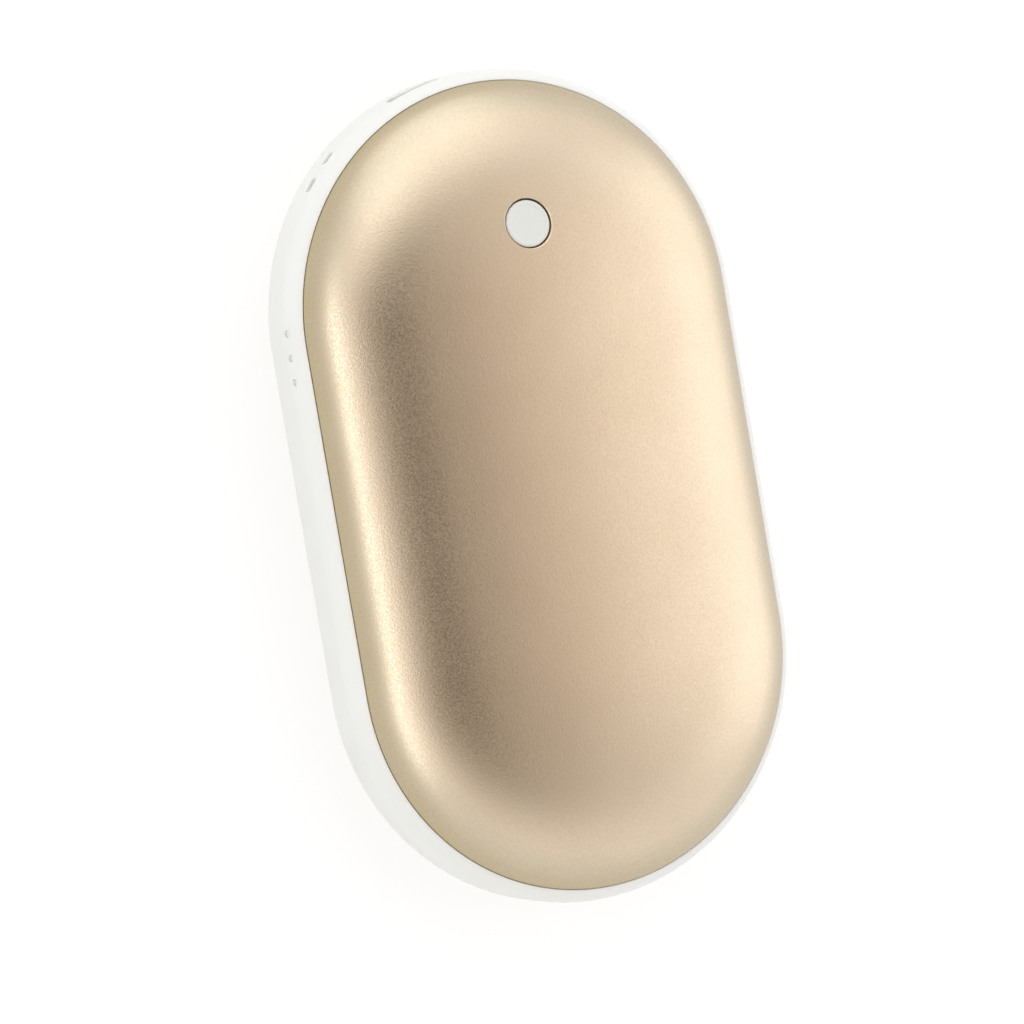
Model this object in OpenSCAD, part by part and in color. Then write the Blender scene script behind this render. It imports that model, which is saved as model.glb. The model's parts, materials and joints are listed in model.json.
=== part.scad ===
// Rechargeable hand warmer: a flat pill of two crowned metal shells on a white plastic band.
// It lies on its back: +Z is up through the front shell, +Y runs towards the button end.
// The origin is under the middle of the body, on the flat land of the back shell.

/* [Body] */
// Overall length
body_l = 100; // [98:1:106]
// Overall width
body_w = 58.6; // [58.2:0.2:61]
// Height of the white band between the edges of the two shells
band_h = 8.8; // [8.7:0.1:9.4]
// Radius of the band's rounded edges
band_edge_r = 3.07; // [2.9:0.01:3.6]
// How far the edge of a shell is set in from the band's outer face
edge_in = 1.67; // [1.5:0.01:1.8]

/* [Metal shells] */
// Thickness of the metal
shell_t = 0.8; // [0.6:0.1:0.9]
// Tilt of the surface where a shell meets the band, from upright, in degrees
edge_angle = 25; // [20:1:28]
// Radius of the shoulder, next to the edge
shoulder_r = 6.5; // [6.1:0.1:7]
// Tilt where the shoulder ends
shoulder_angle = 58; // [56:1:60]
// Radius of the flank, between the shoulder and the crown
flank_r = 22; // [20:1:24]
// Tilt where the crown starts
crown_angle = 81; // [80:1:82]
// Height of the skirt that stands in the band's groove
skirt_h = 0.75; // [0.5:0.05:0.75]
// Gap round the skirt, seen as the thin dark line between metal and plastic
seam_gap = 0.05; // [0.04:0.01:0.2]
// Depth of the flat land in the middle of the back
land_depth = 0.2; // [0.1:0.05:0.3]

/* [Button] */
// Distance of the button from the middle of the body
button_y = 30.9; // [30:0.1:32]
// Radius of the button's face
button_r = 2.8; // [2.5:0.01:3]
// Radial gap between the button and its hole
button_gap = 0.16; // [0.14:0.01:0.3]
// Depth of the face below the shell's surface
button_recess = 0.12; // [0.1:0.02:0.4]
// Travel of the button
button_travel = 0.3; // [0.2:0.05:0.3]

/* [Band details] */
// Distance of the middle indicator light from the middle of the body
light_y = 20; // [18:0.1:21]
// Distance between indicator lights
light_pitch = 2.85; // [2.4:0.05:3.2]
// Radius of the pinhole over each light
light_hole_r = 0.45; // [0.4:0.05:0.5]
// Height of the lights above the middle of the band
light_z = 2.5; // [2.45:0.05:2.55]
// Direction of the lanyard eye, from the left side round the button end, in degrees
eye_angle = 44; // [42:1:46]
// Width of the bar that a lanyard goes behind
eye_bar_w = 2.1; // [1.8:0.1:3]
// Width of the slot on each side of the bar
eye_slot_w = 1.75; // [1.4:0.05:2]
// Height of the slots
eye_h = 1.6; // [1.4:0.1:2]
// Height of the middle of the slots above the middle of the band
eye_z = 1.1; // [0.8:0.1:1.2]

/* [Charging and output sockets] */
// Place of the wide output socket across the end
usb_a_x = 6; // [5.8:0.1:6.2]
// Place of the small charging socket across the end
micro_usb_x = -7.6; // [-8:0.1:-7.4]

/* [Battery] */
// Width of a pouch cell
cell_w = 36; // [34:0.5:36]
// Length of a pouch cell
cell_l = 54; // [50:0.5:54]
// Thickness of a pouch cell
cell_t = 6.5; // [6:0.1:6.5]

/* [Hidden] */

$fn = 96;
// Small overlap that lets a cut run past the face that it opens
eps = 0.01;
// Longer than the body is wide, for cuts that run right out of it
far = 60;

// Plan: a straight stretch between two half rounds, whose centres the spine joins
end_r = body_w / 2;
spine = body_l / 2 - end_r;
edge_u = end_r - edge_in;

// Section of a shell, as distance from the spine and height above the shell's edge
shoulder_c = [edge_u - shoulder_r * cos(edge_angle), -shoulder_r * sin(edge_angle)];
flank_c = shoulder_c - (flank_r - shoulder_r) * [cos(shoulder_angle), sin(shoulder_angle)];
crown_r = flank_r + flank_c[0] / cos(crown_angle);
crown_c = [0, flank_c[1] - (crown_r - flank_r) * sin(crown_angle)];
dome_h = crown_c[1] + crown_r;
dome_top = dome_h + 1;
skirt_in = shoulder_c[0] + sqrt(pow(shoulder_r - shell_t, 2) - pow(shoulder_c[1], 2));

// Heights above the flat land of the back. Inner pieces are placed from the band's middle.
mid_z = dome_h + band_h / 2 - land_depth;
front_edge_z = mid_z + band_h / 2;

// Section of the band, as distance from the spine and height above the band's middle
band_flat = band_h / 2 - sqrt(pow(band_edge_r, 2) - pow(band_edge_r - edge_in, 2));
ledge_u = end_r - 4.1;
wall_u = end_r - 2;
channel_h = 4;
lip_t = 0.8;
lip_h = 0.8;
seal_t = 0.25;
groove_d = skirt_h + seal_t + 0.05;
groove_u = skirt_in - 0.1;

// Lanyard eye: the floor of its recess, the back of its bar, and the solid that it is cut in
eye_floor_u = end_r - 3.1;
eye_bar_u = end_r - 1.5;
eye_bar_angle = eye_bar_w / end_r * 180 / PI;
eye_slot_angle = eye_slot_w / end_r * 180 / PI;
eye_boss_angle = eye_bar_angle + 2 * eye_slot_angle + 8;

// Main board: a D shape with a wing along the left side for the indicator lights
board_t = 1.2;
board_z = 2.85;
board_top = board_z + board_t;
board_u = ledge_u - 0.4;
board_y = 24;
wing_y = 14.5;
wing_w = 3.2;
board_screw_at = [20.5, 28.5];
board_boss_foot = -1.6;

// Button stack, from the switch up
switch_size = [4.5, 4.5, 2.6];
switch_pin = [6, 0.7, 0.2];
plunger_r = 1;
plunger_fit = 0.06;
plunger_z = board_top + 1;
plunger_l = 2.5;
dome_spring_r = 1;
dome_spring_h = 0.46;
dome_spring_t = 0.1;
stem_r = 1.2;
stem_z = plunger_z + plunger_l + 0.03;
flange_r = 3.9;
flange_z = board_top + 3.9;
flange_t = 0.8;
flange_fit = 0.08;
neck_fit = 0.1;
neck_top = 9.9;
guide_r = 5.6;
guide_room_r = 4.9;
guide_bore_z = flange_z - button_travel - 0.4;
guide_lip_z = flange_z + flange_t + 0.1;
guide_lip_h = 0.4;
guide_foot_r = 1.6;
guide_foot_h = 1.2;
peg_x = 6.3;
peg_r = 0.55;
peg_fit = 0.05;
peg_reach = 0.4;
button_led_size = [1.6, 0.8, 0.6];
button_led_y = -3.6;
button_tilt = asin((button_y - spine) / crown_r);
head_h = 1.6;
head_margin = 0.15;
head_round = 0.45;
hole_bevel = 0.12;

// Parts on the top of the board: sizes and places
inductor_w = 6.2;
inductor_h = 3;
inductor_flange_t = 0.6;
inductor_at = [13.6, 33];
chip = [4, 9.8, 1.5];
chip_at = [-12.8, 34.5];
chip_pin = [6, 0.4, 0.25];
chip_pin_pitch = 1.27;
transistor = [2.6, 4.4, 1.5];
transistor_at = [[-5, 39.8], [0, 40.6], [18.2, 33]];
capacitor = [3.2, 1.6, 1.3];
capacitor_at = [[-17.6, 32.4], [-17.6, 35], [6.6, 40], [13.4, 27.4]];
resistor = [0.8, 1.6, 0.5];
resistor_at = [for (i = [-3:3]) [2.2 * i, 44 - 0.35 * abs(i)]];

// Indicator lights, under the wing of the board, and the clear piece in front of them
side_led = [1.4, 1.6, 0.7];
side_led_inset = 0.6;
pipe_fit = 0.05;
pipe_tip = 0.3;
pipe_bar = [0.6, 7, 0.7];
pipe_bar_out = 0.15;

// Sockets, both under the board with their mouths behind windows in the end wall
socket_fit = 0.1;
usb_a = [13.2, 14, 5.7];
usb_a_mouth = 46.4;
usb_a_wall = 0.3;
usb_a_block = 3.1;
usb_a_tongue = [11.1, 10.2, 1.84];
usb_a_tongue_drop = 0.75;
usb_a_tongue_z = usb_a[2] - usb_a_wall - usb_a_tongue_drop - usb_a_tongue[2];
usb_a_contact = [1, 8.6, 0.15];
usb_a_contact_x = [-3.5, -1, 1, 3.5];
micro_usb = [7.5, 5.6, 2.6];
micro_usb_mouth = 46.9;
micro_usb_wall = 0.25;
micro_usb_slant = 0.9;
micro_usb_block = 1.2;
micro_usb_tongue = [3.7, 3.6, 0.6];
micro_usb_contact = [0.35, 3, 0.08];
micro_usb_pitch = 0.65;

// Battery pack, in the middle of the height, from the far end up to the board
cell_gap = 0.5;
cell_top = 20;
cell_corner_r = 2.5;
terrace = [2.5, 1.2];
bond = [30, 48, 0.4];
tab = [4, 0.9, 0.15];
tab_x = 9;
protection = [30, 0.8, 8.4];
tray_wall = 1;
tray_room_w = 36.8;
tray_room_y = [-34.4, 22.4];
tray_rim_z = 3.2;
tray_floor_z = -7.75;
tray_floor_t = 0.8;
tray_floor_y = [-27, 19];
tray_window_w = 24;
tray_window_y = [-22, 14];
tray_notch_w = 12;
ear_x = 23;
ear_y = [-14, 8];
ear_z = -1.6;
ear_t = 1.6;
ear_w = 5.2;

// Screws, all alike, and the bosses that they go into
screw_r = 0.95;
screw_l = 4.2;
screw_head_r = 1.9;
screw_head_h = 1.1;
screw_cross = [2.2, 0.5, 0.6];
screw_hole_r = 1.1;
pilot_r = 0.98;
boss_r = 2.3;
boss_web_w = 3.2;

// Heaters and padding, against the inside of the crown
film_gap = 0.05;
film_t = 0.25;
film_u = 16.5;
film_end = 23;
under_film = shell_t + film_gap + film_t;
pad_size = [30, 44];
pad_y = -7;
pad_fit = 0.05;
bead_r = 0.6;
bead_l = 2.4;
bead_x = 8;
bead_y = 19.4;

// Leads, with routes as distances along X and Y and heights above the band's middle
lead_sides = 8;
lead_steps = 3;
power_lead_d = 1.3;
heater_lead_d = 0.9;
thin_lead_d = 0.5;
battery_lead_x = 3;
heater_lead_gap = 1.8;
thin_lead_gap = 0.9;
battery_route = [[0, 21.8, 0.9], [0, 23.2, 1], [0, 24.8, 1.3], [0, 25.2, 2], [0, 25.2, 2.7]];
front_heater_route = [
    [-9, 19.5, 9.5], [-9.2, 22, 9.3], [-10.6, 24.6, 7.8], [-11.5, 26.2, 5.4], [-11.5, 26.2, 4.2]
];
back_heater_route = [
    [9, 19.5, -9.5], [10, 23.4, -8.9], [12.8, 25.4, -6], [15, 26.2, -1], [15, 26.2, 2.7]
];
front_thin_route = [[8, 21.9, 9.4], [8.4, 24, 8.5], [9, 25.8, 5.8], [9, 25.8, 4.2]];
back_thin_route = [[-8, 21.9, -9.4], [-8.6, 24.2, -7.5], [-11, 25.8, -1], [-11, 25.8, 2.7]];

GOLD = "#d8bf94";
WHITE = "#f2f3ef";
FROST = "#e6eae6";
SEAL = "#c9c9c4";
BOARD = "#2f6b43";
CHIP = "#26272a";
STEEL = "#c4c6c8";
BRASS = "#d2a648";
POUCH = "#b9bcc0";
FILM = "#c98b35";
FOAM = "#5b5d60";
CLEAR = "#dfe9ee";
RED = "#c0392b";

// Distance from the spine at which a ray from a centre of the section reaches a height
function ray_u(centre, angle, z) = centre[0] + (z - centre[1]) / tan(angle);

// Point on a smooth curve through p[i] and p[i + 1], where t goes from 0 to 1
function curve_point(p, i, t) =
    let (a = p[max(i - 1, 0)], b = p[i], c = p[i + 1], d = p[min(i + 2, len(p) - 1)])
    0.5 * (
        2 * b
        + (c - a) * t
        + (2 * a - 5 * b + 4 * c - d) * pow(t, 2)
        + (3 * b - a - 3 * c + d) * pow(t, 3)
    );

function smooth_route(p) = [
    for (i = [0 : len(p) - 2], k = [0 : lead_steps - 1]) curve_point(p, i, k / lead_steps),
    p[len(p) - 1]
];

function unit(v) = v / norm(v);

// Ring of points round a route at its point i
function ring(route, i, r) =
    let (
        ahead = unit(route[min(i + 1, len(route) - 1)] - route[max(i - 1, 0)]),
        side = unit(cross(ahead, [1, 0, 0])),
        up = cross(side, ahead)
    )
    [
        for (k = [0 : lead_sides - 1])
            let (turn = 360 * k / lead_sides)
            route[i] + r * (cos(turn) * side + sin(turn) * up)
    ];

// Half of the section under a shell, from the spine out, at a depth below its outer face
module dome_half(depth) {
    crown_foot = ray_u(flank_c, crown_angle, 0);
    crown_head = ray_u(flank_c, crown_angle, dome_top);
    flank_foot = ray_u(shoulder_c, shoulder_angle, 0);
    flank_head = ray_u(shoulder_c, shoulder_angle, dome_top);
    intersection() {
        translate(crown_c) circle(crown_r - depth, $fn = 720);
        polygon([[0, 0], [crown_foot, 0], [crown_head, dome_top], [0, dome_top]]);
    }
    intersection() {
        translate(flank_c) circle(flank_r - depth, $fn = 360);
        polygon([[crown_foot, 0], [flank_foot, 0], [flank_head, dome_top], [crown_head, dome_top]]);
    }
    intersection() {
        translate(shoulder_c) circle(shoulder_r - depth, $fn = 180);
        polygon([[flank_foot, 0], [end_r, 0], [end_r, dome_top], [flank_head, dome_top]]);
    }
}

// Sweeps half a section round both ends and along the straight stretch
module sweep() {
    for (turn = [0, 180]) rotate(turn) {
        translate([0, spine, 0]) rotate_extrude(angle = 180, $fn = 180) children();
        rotate([90, 0, 0]) linear_extrude(2 * spine, center = true) children();
    }
}

// Places a piece by its height above the middle of the band
module from_mid() {
    translate([0, 0, mid_z]) children();
}

// Places a piece by its height above the edge of the front shell
module from_front_edge() {
    translate([0, 0, front_edge_z]) children();
}

// Turns a piece of the front half into its twin on the back
module to_back() {
    from_mid() mirror([0, 0, 1]) translate([0, 0, -mid_z]) children();
}

// Box from its low corner in Y and Z, centred on X
module block(w, y, z) {
    translate([-w / 2, y[0], z[0]]) cube([w, y[1] - y[0], z[1] - z[0]]);
}

// Upright cylinder between two heights
module pin(r, z) {
    translate([0, 0, z[0]]) cylinder(r = r, h = z[1] - z[0]);
}

// Plate with round corners, centred in plan, with its foot at height 0
module rounded_plate(w, l, h, r) {
    block(w - 2 * r, [-l / 2, l / 2], [0, h]);
    block(w, [r - l / 2, l / 2 - r], [0, h]);
    for (x = [-1, 1], y = [-1, 1])
        translate([x * (w / 2 - r), y * (l / 2 - r), 0]) cylinder(r = r, h = h);
}

// A shell with its crown up and its edge at height 0
module shell() {
    sweep() difference() {
        union() {
            dome_half(0);
            translate([0, -skirt_h]) square([edge_u, skirt_h]);
        }
        dome_half(shell_t);
        translate([-eps, -skirt_h - 1]) square([skirt_in + eps, skirt_h + 1]);
    }
}

// Stands a piece on the crown over the button, square to the surface, at a height above it
module on_crown(z) {
    translate([0, spine, front_edge_z + crown_c[1]])
        rotate([-button_tilt, 0, 0])
            translate([0, 0, crown_r + z])
                children();
}

module front_shell() {
    hole_r = button_r + button_gap;
    flare = hole_r + 2 * hole_bevel;
    color(GOLD) difference() {
        from_front_edge() shell();
        translate([0, button_y, front_edge_z]) cylinder(r = hole_r, h = far);
        on_crown(hole_bevel - flare) cylinder(r1 = 0, r2 = flare, h = flare);
    }
}

module back_shell() {
    color(GOLD) difference() {
        to_back() from_front_edge() shell();
        translate([-far, -far, -far]) cube([2 * far, 2 * far, far]);
    }
}

// Half of the band's section: a barrel with a channel inside, a groove and a lip at each edge
module band_half() {
    groove_w = edge_u + seam_gap - groove_u;
    difference() {
        intersection() {
            translate([ledge_u, -band_h / 2]) square([end_r, band_h]);
            union() {
                for (side = [-1, 1])
                    translate([end_r - band_edge_r, side * band_flat]) circle(band_edge_r, $fn = 180);
                translate([0, -band_flat]) square([end_r, 2 * band_flat]);
                translate([0, -band_h / 2]) square([edge_u, band_h]);
            }
        }
        translate([0, -channel_h / 2]) square([wall_u, channel_h]);
        for (side = [0, 1]) mirror([0, side])
            translate([groove_u, band_h / 2 - groove_d]) square([groove_w, 1 + groove_d]);
    }
    for (side = [0, 1]) mirror([0, side])
        translate([ledge_u, band_h / 2 - 0.5]) square([lip_t, lip_h + 0.5]);
}

// Ring sector round the button end, from a direction counted from the left side, over an angle
module end_sector(start, angle, u, z) {
    translate([0, spine, 0]) rotate(180 - start)
        rotate_extrude(angle = angle) translate([u[0], z[0]]) square([u[1] - u[0], z[1] - z[0]]);
}

module eye_boss() {
    start = eye_angle + eye_boss_angle / 2;
    half_h = band_h / 2 - groove_d;
    end_sector(start, eye_boss_angle, [ledge_u, wall_u + 1], [-half_h, half_h]);
}

// Recess in the outer wall that leaves the bar standing across it, clear of its back
module eye_recess() {
    reach = eye_bar_angle / 2 + eye_slot_angle;
    z = [eye_z - eye_h / 2, eye_z + eye_h / 2];
    difference() {
        end_sector(eye_angle + reach, 2 * reach, [eye_floor_u, end_r + 2], z);
        end_sector(eye_angle + eye_bar_angle / 2, eye_bar_angle, [eye_bar_u, end_r + 3], [-far, far]);
    }
}

// Screw boss between two heights, with a web in a direction that reaches into the band
module boss(angle, reach, z) {
    pin(boss_r, z);
    rotate(angle) translate([0, -boss_web_w / 2, z[0]]) cube([reach, boss_web_w, z[1] - z[0]]);
}

module board_bosses() {
    out = board_screw_at - [0, spine];
    for (side = [0, 1]) mirror([side, 0, 0]) translate(board_screw_at)
        boss(atan2(out[1], out[0]), wall_u + 0.5 - norm(out), [board_boss_foot, board_z]);
}

module tray_bosses() {
    for (side = [0, 1], y = ear_y) mirror([side, 0, 0]) translate([ear_x, y, 0])
        boss(0, ledge_u + 0.7 - ear_x, [-band_h / 2, ear_z]);
}

// Puts a screw, or its hole, at each place of the board or the tray, with Z 0 under the head
module at_board_screws() {
    for (side = [-1, 1])
        translate([side * board_screw_at[0], board_screw_at[1], board_top]) children();
}

module at_tray_screws() {
    for (side = [-1, 1], y = ear_y) translate([side * ear_x, y, ear_z + ear_t]) children();
}

// Room for the wide socket, and a window in front of it that is as large as its inside
module usb_a_space() {
    fit = socket_fit;
    translate([usb_a_x, usb_a_mouth - usb_a[1], board_z - usb_a[2]]) {
        block(usb_a[0] + 2 * fit, [0, usb_a[1] + fit], [-fit, usb_a[2] + fit]);
        block(usb_a[0] - 2 * usb_a_wall, [0, far], [usb_a_wall, usb_a[2] - usb_a_wall]);
    }
}

// Section of the charging socket at a depth in from its outer face, with its wide side up
module micro_usb_section(depth) {
    w = micro_usb[0] / 2 - depth;
    h = micro_usb[2] / 2 - depth;
    slant = micro_usb_slant;
    polygon([[-w, h], [w, h], [w, slant - h], [w - slant, -h], [slant - w, -h], [-w, slant - h]]);
}

// Extrudes a section of the charging socket along Y, from its back end
module along_micro_usb(l) {
    translate([micro_usb_x, micro_usb_mouth - micro_usb[1] + l, board_z - micro_usb[2] / 2])
        rotate([90, 0, 0]) linear_extrude(l) children();
}

// Room for the charging socket, and a window in front of it that is as large as its inside
module micro_usb_space() {
    along_micro_usb(micro_usb[1] + socket_fit) micro_usb_section(-socket_fit);
    along_micro_usb(far) micro_usb_section(micro_usb_wall);
}

module mid_frame() {
    color(WHITE) from_mid() difference() {
        union() {
            sweep() band_half();
            eye_boss();
            board_bosses();
            tray_bosses();
        }
        eye_recess();
        for (i = [-1 : 1]) translate([-end_r - 1, light_y + i * light_pitch, light_z])
            rotate([0, 90, 0]) cylinder(r = light_hole_r, h = end_r + 2 - ledge_u);
        usb_a_space();
        micro_usb_space();
        at_board_screws() pin(pilot_r, [-screw_l - 0.3, 0]);
        at_tray_screws() pin(pilot_r, [-far, 0]);
    }
}

// Bead of sealant under the edge of a shell
module seal_ring() {
    color(SEAL) from_front_edge() translate([0, 0, -groove_d])
        sweep() translate([skirt_in, 0]) square([edge_u - skirt_in, seal_t]);
}

module front_seal_ring() {
    seal_ring();
}

module back_seal_ring() {
    to_back() seal_ring();
}

// Pin with its top edge rounded and its top at height 0
module round_topped_pin(r, h, edge) {
    rotate_extrude() {
        translate([0, -h]) square([r, h - edge]);
        translate([0, -h]) square([r - edge, h]);
        translate([r - edge, -edge]) intersection() {
            circle(edge);
            square(edge);
        }
    }
}

module button_cap() {
    color(FROST) {
        intersection() {
            translate([0, button_y, mid_z + flange_z]) cylinder(r = button_r, h = far);
            on_crown(-button_recess) round_topped_pin(button_r + head_margin, head_h, head_round);
        }
        from_mid() translate([0, button_y, 0]) {
            pin(button_r, [flange_z, neck_top]);
            pin(flange_r, [flange_z, flange_z + flange_t]);
            pin(stem_r, [stem_z, flange_z + eps]);
        }
    }
}

// Tube round the button's flange, with a foot and a peg on each side
module button_guide() {
    color(WHITE) from_mid() translate([0, button_y, 0]) {
        difference() {
            pin(guide_r, [board_top, guide_lip_z + guide_lip_h]);
            pin(guide_room_r, [board_top - eps, guide_bore_z]);
            pin(flange_r + flange_fit, [guide_bore_z - eps, guide_lip_z]);
            pin(button_r + neck_fit, [board_top, far]);
        }
        for (x = [-peg_x, peg_x]) translate([x, 0, 0]) {
            pin(peg_r, [board_z - peg_reach, board_top + eps]);
            difference() {
                pin(guide_foot_r, [board_top, board_top + guide_foot_h]);
                translate([-x, 0, 0]) pin(guide_r - eps, [0, far]);
            }
        }
    }
}

// Switch with a terminal strip under each end of its body
module tact_switch_body() {
    color(CHIP) from_mid() translate([0, button_y, board_top]) {
        difference() {
            block(switch_size[0], [-1, 1] * switch_size[1] / 2, [0, switch_size[2]]);
            pin(plunger_r + plunger_fit, [plunger_z - board_top - button_travel - 0.2, far]);
        }
        for (y = [-1, 1] * switch_size[1] / 3)
            block(switch_pin[0], [y - switch_pin[1] / 2, y + switch_pin[1] / 2], [0, switch_pin[2]]);
    }
}

// Thin metal dome in the switch, under the plunger: it closes the contact and springs back
module tact_switch_dome() {
    outer_r = (pow(dome_spring_r, 2) + pow(dome_spring_h, 2)) / (2 * dome_spring_h);
    color(STEEL) from_mid() translate([0, button_y, plunger_z - dome_spring_h - 0.02])
        rotate_extrude() intersection() {
            translate([0, dome_spring_h - outer_r]) difference() {
                circle(outer_r);
                circle(outer_r - dome_spring_t);
            }
            square([dome_spring_r, dome_spring_h]);
        }
}

module tact_switch_plunger() {
    color(FOAM) from_mid() translate([0, button_y, plunger_z]) pin(plunger_r, [0, plunger_l]);
}

// A board part that stands on the board's top at a place
module on_board(at, size) {
    from_mid() translate([at[0] - size[0] / 2, at[1] - size[1] / 2, board_top]) cube(size);
}

module button_led() {
    color(CLEAR) on_board([0, button_y + button_led_y], button_led_size);
}

module main_board() {
    color(BOARD) from_mid() difference() {
        intersection() {
            translate([0, 0, board_z]) sweep() square([board_u, board_t]);
            union() {
                block(far, [board_y, far], [board_z, board_top]);
                translate([-board_u, wing_y, board_z]) cube([wing_w, board_y - wing_y + 1, board_t]);
            }
        }
        at_board_screws() pin(screw_hole_r, [-far, far]);
        for (x = [-peg_x, peg_x]) translate([x, button_y, 0]) pin(peg_r + peg_fit, [0, far]);
    }
}

// Drum with a square foot and a round head
module power_inductor() {
    color(CHIP) {
        on_board(inductor_at, [inductor_w, inductor_w, inductor_flange_t]);
        from_mid() translate([inductor_at[0], inductor_at[1], board_top]) {
            cylinder(r = inductor_w / 2 - 0.5, h = inductor_h);
            pin(inductor_w / 2, [inductor_h - inductor_flange_t, inductor_h]);
        }
    }
}

module controller_chip() {
    color(CHIP) {
        on_board(chip_at, chip);
        for (i = [-3 : 3]) on_board(chip_at + [0, i * chip_pin_pitch], chip_pin);
    }
}

module power_transistors() {
    color(CHIP) for (at = transistor_at) on_board(at, transistor);
}

module filter_capacitors() {
    color(BRASS) for (at = capacitor_at) on_board(at, capacitor);
}

module board_resistors() {
    color(CHIP) for (at = resistor_at) on_board(at, resistor);
}

// Puts something at each indicator light, on the left side, at the height of the lights
module at_lights() {
    for (i = [-1 : 1]) translate([-board_u, light_y + i * light_pitch, light_z]) children();
}

module indicator_leds() {
    foot = board_z - light_z - side_led[2];
    color(CLEAR) from_mid() at_lights()
        translate([side_led_inset, -side_led[1] / 2, foot]) cube(side_led);
}

// Clear bar along the lights, with a pin out through each pinhole
module indicator_light_pipe() {
    color(CLEAR) from_mid() {
        at_lights() rotate([0, -90, 0])
            pin(light_hole_r - pipe_fit, [pipe_fit, end_r - board_u - pipe_tip]);
        translate([-board_u - pipe_bar_out, light_y - pipe_bar[1] / 2, board_z - pipe_bar[2] - 0.05])
            cube(pipe_bar);
    }
}

// Places a piece of the wide socket from the back end of its floor
module at_usb_a() {
    from_mid() translate([usb_a_x, usb_a_mouth - usb_a[1], board_z - usb_a[2]]) children();
}

module usb_a_shell() {
    color(STEEL) at_usb_a() difference() {
        block(usb_a[0], [0, usb_a[1]], [0, usb_a[2]]);
        block(usb_a[0] - 2 * usb_a_wall, [-1, usb_a[1] + 1], [usb_a_wall, usb_a[2] - usb_a_wall]);
    }
}

module usb_a_insulator() {
    inset = usb_a_wall + 0.05;
    tongue_y = [usb_a_block - 1, usb_a_block + usb_a_tongue[1]];
    color(CHIP) at_usb_a() {
        block(usb_a[0] - 2 * inset, [0, usb_a_block], [inset, usb_a[2] - inset]);
        block(usb_a_tongue[0], tongue_y, [usb_a_tongue_z, usb_a_tongue_z + usb_a_tongue[2]]);
    }
}

// Contacts along the underside of the tongue
module usb_a_contacts() {
    y = [usb_a_block, usb_a_block + usb_a_contact[1]];
    z = [usb_a_tongue_z - usb_a_contact[2], usb_a_tongue_z];
    color(BRASS) at_usb_a() for (x = usb_a_contact_x)
        translate([x, 0, 0]) block(usb_a_contact[0], y, z);
}

module micro_usb_shell() {
    color(STEEL) from_mid() along_micro_usb(micro_usb[1]) difference() {
        micro_usb_section(0);
        micro_usb_section(micro_usb_wall);
    }
}

// Places a piece of the charging socket from the middle of its back end
module at_micro_usb() {
    from_mid() translate([micro_usb_x, micro_usb_mouth - micro_usb[1], board_z - micro_usb[2] / 2])
        children();
}

module micro_usb_insulator() {
    tongue_y = [micro_usb_block - 0.5, micro_usb_block + micro_usb_tongue[1]];
    color(CHIP) {
        from_mid() along_micro_usb(micro_usb_block) micro_usb_section(micro_usb_wall + 0.03);
        at_micro_usb() block(micro_usb_tongue[0], tongue_y, [-1, 1] * micro_usb_tongue[2] / 2);
    }
}

// Contacts along the underside of the tongue
module micro_usb_contacts() {
    top = -micro_usb_tongue[2] / 2;
    y = [micro_usb_block, micro_usb_block + micro_usb_contact[1]];
    color(BRASS) at_micro_usb() for (i = [-2 : 2])
        translate([i * micro_usb_pitch, 0, 0])
            block(micro_usb_contact[0], y, [top - micro_usb_contact[2], top]);
}

// Pouch cell with the thin terrace that its tabs leave by, on the middle of its own thickness
module battery_cell() {
    terrace_y = [cell_top - terrace[0] - 1, cell_top];
    color(POUCH) {
        translate([0, cell_top - (cell_l + terrace[0]) / 2, -cell_t / 2])
            rounded_plate(cell_w, cell_l - terrace[0], cell_t, cell_corner_r);
        block(cell_w - 2 * cell_corner_r, terrace_y, [-1, 1] * terrace[1] / 2);
    }
}

// Puts something at the middle of the front cell's thickness, or the back one's
module at_cell(side) {
    from_mid() translate([0, 0, side * (cell_gap + cell_t) / 2]) children();
}

module front_battery_cell() {
    at_cell(1) battery_cell();
}

module back_battery_cell() {
    at_cell(-1) battery_cell();
}

module cell_bonding_pad() {
    color(FOAM) from_mid() translate([0, pad_y, -bond[2] / 2])
        rounded_plate(bond[0], bond[1], bond[2], 1);
}

module cell_tabs() {
    color(STEEL) for (side = [-1, 1], x = [-tab_x, tab_x]) at_cell(side) translate([x, 0, 0])
        block(tab[0], [cell_top, cell_top + tab[1]], [-1, 1] * tab[2] / 2);
}

// Small board that all the tabs are welded to
module protection_board() {
    foot = cell_top + tab[1];
    color(BOARD) from_mid()
        block(protection[0], [foot, foot + protection[1]], [-1, 1] * protection[2] / 2);
}

// Frame round both cells, with a floor under the middle of the back one and two ears a side
module battery_tray() {
    outer_w = tray_room_w + 2 * tray_wall;
    outer_y = tray_room_y + [-tray_wall, tray_wall];
    color(WHITE) from_mid() difference() {
        union() {
            block(outer_w, outer_y, [-tray_rim_z, tray_rim_z]);
            block(outer_w, tray_floor_y, [tray_floor_z, tray_rim_z]);
            for (y = ear_y)
                block(2 * board_u, [y - ear_w / 2, y + ear_w / 2], [ear_z, ear_z + ear_t]);
        }
        block(tray_room_w, tray_room_y, [tray_floor_z + tray_floor_t, far]);
        block(tray_window_w, tray_window_y, [-far, 0]);
        block(tray_notch_w, [tray_room_y[1] - 1, outer_y[1] + 1], [0, far]);
        at_tray_screws() pin(screw_hole_r, [-far, far]);
    }
}

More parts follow.
